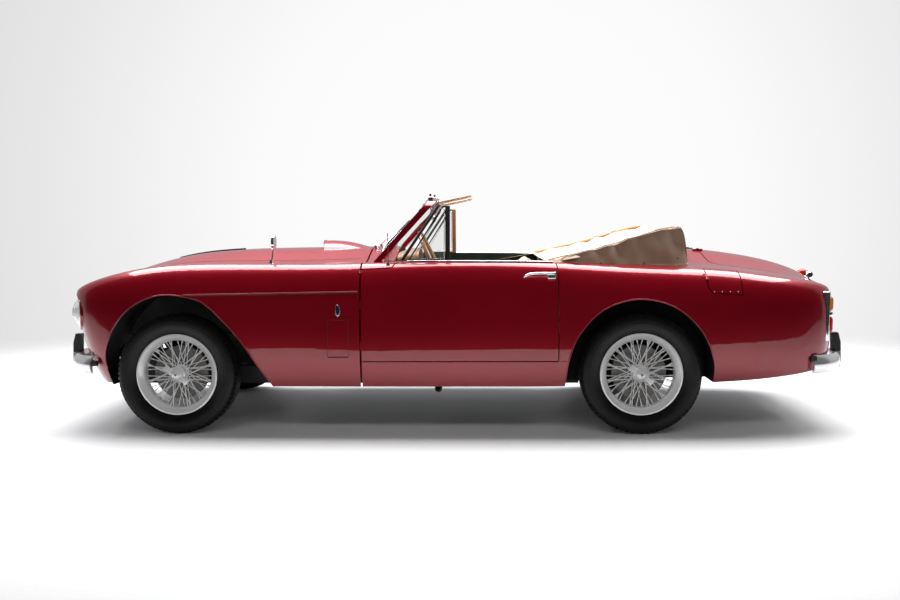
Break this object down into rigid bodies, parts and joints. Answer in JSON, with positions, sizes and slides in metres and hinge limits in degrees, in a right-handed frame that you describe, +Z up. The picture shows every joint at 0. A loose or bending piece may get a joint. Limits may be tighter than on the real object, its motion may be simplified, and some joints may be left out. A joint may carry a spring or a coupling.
{
  "type": "convertible car",
  "caption": "Open touring car of the 1950s with its hood folded under a cover, wire wheels, tilting nose, opening doors, boot lid and fuel flap.",
  "frame": {"origin": "on the ground below the middle of the bumper-to-bumper length, on the centre line", "axes": "+X towards the tail (the nose points to -X), +Y towards the car's right-hand side, +Z up"},
  "size_m": [4.368, 1.652, 1.292],
  "materials": {
    "body_paint": "gloss",
    "chassis_paint": "satin",
    "engine_iron": "matt",
    "axle_steel": "satin",
    "tyre": "matt",
    "chrome": "polished",
    "drum_iron": "matt",
    "lamp_chrome": "polished",
    "tail_lamp": "gloss",
    "screen_glass": "clear",
    "dash_leather": "satin",
    "wheel_rim": "gloss",
    "column_metal": "satin",
    "seat_leather": "satin",
    "lever_chrome": "polished",
    "cover_canvas": "woven",
    "exhaust_steel": "satin"
  },
  "bodies": {
    "chassis": {"body_shell": "body_paint", "chassis_frame": "chassis_paint", "engine_block": "engine_iron", "front_suspension": "axle_steel", "rear_axle": "axle_steel", "rear_bumper": "chrome", "tail_lamps": "tail_lamp", "windscreen_frame": "body_paint", "windscreen_glass": "screen_glass", "dashboard": "dash_leather", "steering_column": "column_metal", "front_seats": "seat_leather", "rear_seat": "seat_leather", "cabin_levers": "lever_chrome", "hood_cover": "cover_canvas", "exhaust": "exhaust_steel"},
    "clip": {"front_clip": "body_paint", "front_bumper": "chrome", "grille": "chrome", "headlamps": "lamp_chrome", "wing_mirror": "chrome"},
    "left_door": {"door_left": "body_paint", "quarter_light_left": "chrome", "door_handle_left": "chrome"},
    "right_door": {"door_right": "body_paint", "quarter_light_right": "chrome", "door_handle_right": "chrome"},
    "lid": {"boot_lid": "body_paint", "lid_lamp": "chrome"},
    "flap": {"fuel_flap": "body_paint"},
    "hand_wheel": {"steering_wheel": "wheel_rim"},
    "left_knuckle": {"knuckle_left": "axle_steel"},
    "right_knuckle": {"knuckle_right": "axle_steel"},
    "front_left_wheel": {"tyre_front_left": "tyre", "wire_wheel_front_left": "chrome", "brake_drum_front_left": "drum_iron"},
    "front_right_wheel": {"tyre_front_right": "tyre", "wire_wheel_front_right": "chrome", "brake_drum_front_right": "drum_iron"},
    "rear_left_wheel": {"tyre_rear_left": "tyre", "wire_wheel_rear_left": "chrome", "brake_drum_rear_left": "drum_iron"},
    "rear_right_wheel": {"tyre_rear_right": "tyre", "wire_wheel_rear_right": "chrome", "brake_drum_rear_right": "drum_iron"}
  },
  "joints": [
    {"name": "clip_tilt", "type": "hinge", "parent": "chassis", "child": "clip", "pos_m": [-2.055, 0, 0.335], "axis": [0, -1, 0], "range_deg": [0, 45]},
    {"name": "left_door_swing", "type": "hinge", "parent": "chassis", "child": "left_door", "pos_m": [-0.4775, -0.8225, 0.6], "axis": [0, 0, -1], "range_deg": [0, 65]},
    {"name": "right_door_swing", "type": "hinge", "parent": "chassis", "child": "right_door", "pos_m": [-0.4775, 0.8225, 0.6], "axis": [0, 0, 1], "range_deg": [0, 65]},
    {"name": "boot_lid_lift", "type": "hinge", "parent": "chassis", "child": "lid", "pos_m": [1.452, 0, 0.982], "axis": [0, -1, 0], "range_deg": [0, 60]},
    {"name": "fuel_flap_swing", "type": "hinge", "parent": "chassis", "child": "flap", "pos_m": [1.355, -0.7559, 0.85328], "axis": [0, -0.7141, -0.7001], "range_deg": [0, 80]},
    {"name": "left_steer", "type": "hinge", "parent": "chassis", "child": "left_knuckle", "pos_m": [-1.493, -0.596, 0.328], "axis": [0, 0, 1], "range_deg": [-28, 28]},
    {"name": "right_steer", "type": "hinge", "parent": "chassis", "child": "right_knuckle", "pos_m": [-1.493, 0.596, 0.328], "axis": [0, 0, 1], "range_deg": [-28, 28]},
    {"name": "hand_wheel_turn", "type": "hinge", "parent": "chassis", "child": "hand_wheel", "pos_m": [-0.1, -0.34, 0.901], "axis": [-0.9063, 0, -0.4226], "range_deg": [-430, 430]},
    {"name": "front_left_roll", "type": "hinge", "parent": "left_knuckle", "child": "front_left_wheel", "pos_m": [-1.493, -0.686, 0.328], "axis": [0, 1, 0], "continuous": true},
    {"name": "front_right_roll", "type": "hinge", "parent": "right_knuckle", "child": "front_right_wheel", "pos_m": [-1.493, 0.686, 0.328], "axis": [0, 1, 0], "continuous": true},
    {"name": "rear_left_roll", "type": "hinge", "parent": "chassis", "child": "rear_left_wheel", "pos_m": [1.022, -0.686, 0.328], "axis": [0, 1, 0], "continuous": true},
    {"name": "rear_right_roll", "type": "hinge", "parent": "chassis", "child": "rear_right_wheel", "pos_m": [1.022, 0.686, 0.328], "axis": [0, 1, 0], "continuous": true}
  ],
  "couplings": [
    {"joint": "right_steer", "follows": "left_steer", "ratio": 1},
    {"joint": "hand_wheel_turn", "follows": "left_steer", "ratio": -15}
  ]
}
